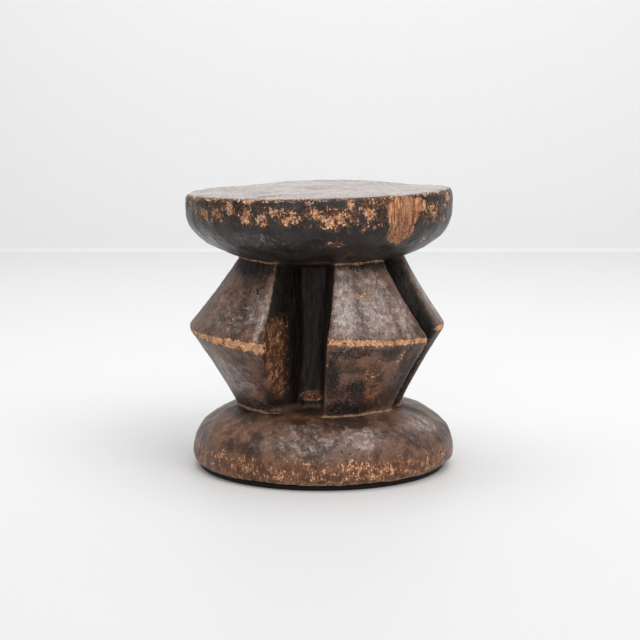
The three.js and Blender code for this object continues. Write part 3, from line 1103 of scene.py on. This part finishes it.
# A painted grey reflection on the smoked bowl, where the pale places reach the seat.
smoke_and_sheen = coat(tree, smoke_and_sheen, "#555351", bloom_and_sheen_places, strength=0.8)
smoke_and_sheen = coat(tree, smoke_and_sheen, "#4a3225", ragged(tone["warm"], 1.3, 0.3, 0.7), strength=0.8)
# Soot on the seat and painted shade in the slots, then dark patches and painted shade.
skin = coat(tree, skin, smoke_and_sheen, tone["soot_and_shade"])
skin = coat(tree, skin, pitch_and_shade, ragged(tone["dark"], 1.9, 0.3, 0.8))
# The painted reflection on the seat's top.
skin = coat(tree, skin, polish_and_reflection, tone["seat_top"])
print("the sound skin brings it to", len(tree.nodes), "nodes")

# %% [markdown]
# Fine lines cross the skin: hairs along the grain, dark but light where the bloom and painted sheen are
# thick, light crazing in the bloom, which also draws the painted glint on the base, dark cracks on the
# left support and a few short splits in the seat's top. Each is a line pattern that only shows in its
# places. A fine grit over all of it takes the evenness away.

# %% Smoked hardwood: hairs and crazing
off_drift = add_node(tree, "Math", {0: drift, 1: 0.5}, operation="SUBTRACT")
off_drift = add_node(tree, "Math", {0: off_drift}, operation="ABSOLUTE")
hairs = shown(tree, off_drift, 0.022, 0.008)
hair_places = shown(tree, mottle, 0.58, 0.5, hairs)
hair_share = add_node(tree, "Math", {0: tone["seat_top"], 1: -0.42, 2: 0.65}, operation="MULTIPLY_ADD")
hair_colour = coat(tree, "#2a1d17", "#ded6d2", tone["bloom_and_sheen"], (0.75, 0.95))
skin = coat(tree, skin, hair_colour, hair_places, strength=hair_share)
crazed_places = shown(tree, blot, 0.48, 0.6, tone["bloom_and_sheen"])
crazed_places = add_node(tree, "Math", {0: crazed_places, 1: crazing}, operation="MULTIPLY")
skin = coat(tree, skin, "#e6dfdc", crazed_places, strength=0.75)
print("hairs and crazing bring it to", len(tree.nodes), "nodes")

# %% Smoked hardwood: cracks, splits and grit
cracked_places = shown(tree, blot, 0.4, 0.5, tone["cracked"])
lines = add_node(tree, "Math", {0: cracks, 1: cracked_places}, operation="MULTIPLY")
split_places = shown(tree, mottle, 0.58, 0.66, 0.8)
split_places = add_node(tree, "Math", {0: split_places, 1: tone["seat_top"]}, operation="MULTIPLY")
lines = add_node(tree, "Math", {0: splits, 1: split_places, 2: lines}, operation="MULTIPLY_ADD")
lines = add_node(tree, "Math", {0: lines, 1: 1.0}, operation="MINIMUM")
skin = coat(tree, skin, "#1a1310", lines)
off_top = add_node(tree, "Math", {0: tone["seat_top"], 1: -0.7, 2: 1.0}, operation="MULTIPLY_ADD")
grit_colour = coat(tree, "#cdc7c4", "#ffffff", grit, (0.38, 0.6))
skin = coat(tree, skin, grit_colour, off_top, mode="MULTIPLY")
print("cracks and grit bring it to", len(tree.nodes), "nodes")

# %% [markdown]
# Bare wood is of two kinds. Where it is rubbed or chipped it is orange brown with light flecks and dark
# pores. In the spall it is torn along the grain, so it shows long strands. Round every worn place the
# skin is thinner and turns ochre, and light dust has settled in the creases. The same cream colour paints
# a highlight along the bottom edge of the base.

# %% Smoked hardwood: bare wood
fresh = coat(tree, "#7a4a2e", "#bd8259", blot, (0.4, 0.62))
light_flecks = shown(tree, speck, 0.48, 0.6, shown(tree, blot, 0.36, 0.56))
fresh = coat(tree, fresh, "#f2c9a5", light_flecks, strength=0.9)
fresh = coat(tree, fresh, "#4a2a1a", grit, (0.48, 0.4), 0.85)
fresh = coat(tree, fresh, "#e0a87e", tone["rubbed"], strength=0.5)
torn = coat(tree, "#6a3c26", "#c27d52", streak, (0.42, 0.56))
torn = coat(tree, torn, "#dfaa82", strand, (0.5, 0.6), 0.75)
torn = coat(tree, torn, "#4c2a1b", strand, (0.46, 0.38), 0.75)
torn = coat(tree, torn, "#5d3626", mottle, (0.54, 0.44), 0.5)
torn = coat(tree, torn, "#e3b48d", grit, (0.56, 0.64), 0.6)
print("bare wood brings it to", len(tree.nodes), "nodes")

# %% Smoked hardwood: all coats
grain_share = add_node(tree, "Math", {0: tone["warm"], 1: 0.6, 2: 0.2}, operation="MULTIPLY_ADD")
worn = ragged(tone["bare"], 2.8, 0.5, 0.66, grain=grain_share)
halo = ragged(tone["bare"], 2.8, 0.08, 0.42, grain=grain_share)
broken = ragged(tone["spall"], 1.7, 0.4, 0.58)
dust_and_edge_light = ragged(tone["crease"], 2.7, 0.45, 0.95)
ochre = coat(tree, "#4a2c1f", "#7d5030", speck, (0.42, 0.6))
colour = coat(tree, skin, ochre, halo, strength=0.74)
colour = coat(tree, colour, fresh, worn)
colour = coat(tree, colour, torn, broken)
# Cream dust in the creases, and a painted highlight on the base's bottom edge.
colour = coat(tree, colour, "#b98f70", dust_and_edge_light, strength=0.65)
tree.links.new(colour, shader.inputs["Base Color"])
print("all coats bring it to", len(tree.nodes), "nodes")

# %% [markdown]
# Light tells as much as colour. The handled skin is satin, broken wood is dull, and the top is polished
# by sitting. Pores, fibres and cracks are too fine for the mesh, so they are a bump of a few tenths of a
# millimetre. Both sheen and relief are sums of the patterns, each with its own weight.

# %% Smoked hardwood: sheen and fine relief
SKIN_ROUGHNESS = 0.2
SPECULAR = 0.3
BUMP_DEPTH = 0.6
BUMP_STRENGTH = 0.7


def weighed(total, parts):
    """Adds patterns, each times its weight, to a first value."""
    for pattern, weight in parts:
        total = add_node(tree, "Math", {0: pattern, 1: weight, 2: total}, operation="MULTIPLY_ADD")
    return total


opened = add_node(tree, "Math", {0: worn, 1: broken}, operation="MAXIMUM")
opened = add_node(tree, "Math", {0: opened, 1: dust_and_edge_light}, operation="MAXIMUM")
roughness = weighed(SKIN_ROUGHNESS, [(mottle, 0.3), (tone["seat_top"], -0.08), (tone["dark"], 0.25),
                                     (tone["bloom_and_sheen"], -0.1), (opened, 0.4)])
relief = weighed(0.0, [(fibre, 0.3), (grit, 0.2), (speck, 0.8), (blot, 2.2), (opened, -0.9),
                       (hairs, -0.4), (lines, -1.2)])
inputs = {"Height": relief, "Strength": BUMP_STRENGTH, "Distance": BUMP_DEPTH * MM}
tree.links.new(roughness, shader.inputs["Roughness"])
tree.links.new(add_node(tree, "Bump", inputs), shader.inputs["Normal"])
shader.inputs["Specular IOR Level"].default_value = SPECULAR
stool.data.materials.clear()
stool.data.materials.append(wood)
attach(stool, "root")
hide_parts("stool_body")
print("wood material has", len(tree.nodes), "nodes")

# %% [markdown]
# The black pad under the base is dense felt, punched out as a disc, which keeps the stool from scratching
# a floor. It can be a cylinder whose two rims are bevelled, because felt has no sharp edge. Two insets
# break up its large flat faces.

# %% Felt pad
PAD_RADIUS = 139
PAD_BEVEL = 1.3
PAD_BEVEL_STEPS = 4
PAD_SIDES = 180
PAD_INSETS = (12, 50)
SHARP_FROM = 50

bpy.ops.object.select_all(action="DESELECT")
bpy.ops.mesh.primitive_cylinder_add(vertices=PAD_SIDES, radius=PAD_RADIUS * MM, depth=PAD_THICKNESS * MM,
                                    location=(0, 0, 0))
pad = bpy.context.object
pad.name = "felt_disc"
bpy.ops.object.mode_set(mode="EDIT")
bpy.ops.transform.translate(value=(0, 0, PAD_THICKNESS / 2 * MM))
bpy.ops.mesh.select_all(action="DESELECT")
bpy.ops.object.mode_set(mode="OBJECT")
for face in pad.data.polygons:
    face.select = abs(face.normal.z) > 0.9
bpy.ops.object.mode_set(mode="EDIT")
bpy.ops.mesh.select_mode(type="FACE")
for width in PAD_INSETS:
    bpy.ops.mesh.inset(thickness=width * MM, depth=0)
print("felt disc has", len(pad.data.polygons), "faces before its insets and bevels")

# %% Rims of the felt
def on_rim(start, end):
    """An edge that runs round the top or the bottom of the disc."""
    return min(start.xy.length, end.xy.length) > PAD_RADIUS - 1 and abs(start.z - end.z) < 0.1


select_edges(pad, on_rim)
bpy.ops.mesh.bevel(offset=PAD_BEVEL * MM, segments=PAD_BEVEL_STEPS, affect="EDGES")
bpy.ops.object.mode_set(mode="OBJECT")
bpy.ops.object.shade_smooth_by_angle(angle=math.radians(SHARP_FROM))
print("felt disc has", len(pad.data.polygons), "faces")

# %% [markdown]
# Felt is matted wool: nearly black, without gloss, and faintly furry. Its fibres are finer than a tenth
# of a millimetre, so they are drawn much coarser than they are, to show at all.

# %% Black felt
FELT_FIBRE = 0.8
FELT_ROUGHNESS = 0.95
FELT_SHEEN = 0.05
FELT_BUMP = 0.4

felt, tree, shader = new_material("black_felt")
place = add_node(tree, "TexCoord", output="Object")
fuzz = lumps(tree, place, FELT_FIBRE, detail=5)
tree.links.new(coat(tree, "#050505", "#110f0f", fuzz, (0.35, 0.7)), shader.inputs["Base Color"])
inputs = {"Height": fuzz, "Strength": 0.5, "Distance": FELT_BUMP * MM}
tree.links.new(add_node(tree, "Bump", inputs), shader.inputs["Normal"])
shader.inputs["Roughness"].default_value = FELT_ROUGHNESS
shader.inputs["Sheen Weight"].default_value = FELT_SHEEN
pad.data.materials.append(felt)
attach(pad, "root")
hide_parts("floor_pad")
print("felt fibres drawn at", FELT_FIBRE, "mm")

# %% [markdown]
# The sweep is rolled with plain studio paint, a light neutral grey that the lamps bring up to near white.
# It is silk matt, so it reflects the stool only as a faint soft shade, and has no pattern to distract.

# %% Studio paint
PAINT_ROUGHNESS = 0.55

paint, tree, shader = new_material("matt_studio_paint")
shader.inputs["Base Color"].default_value = linear("#e0e0e0")
shader.inputs["Roughness"].default_value = PAINT_ROUGHNESS
shader.inputs["Specular IOR Level"].default_value = SPECULAR
sweep.data.materials.append(paint)
print("the sweep is painted with", paint.name)
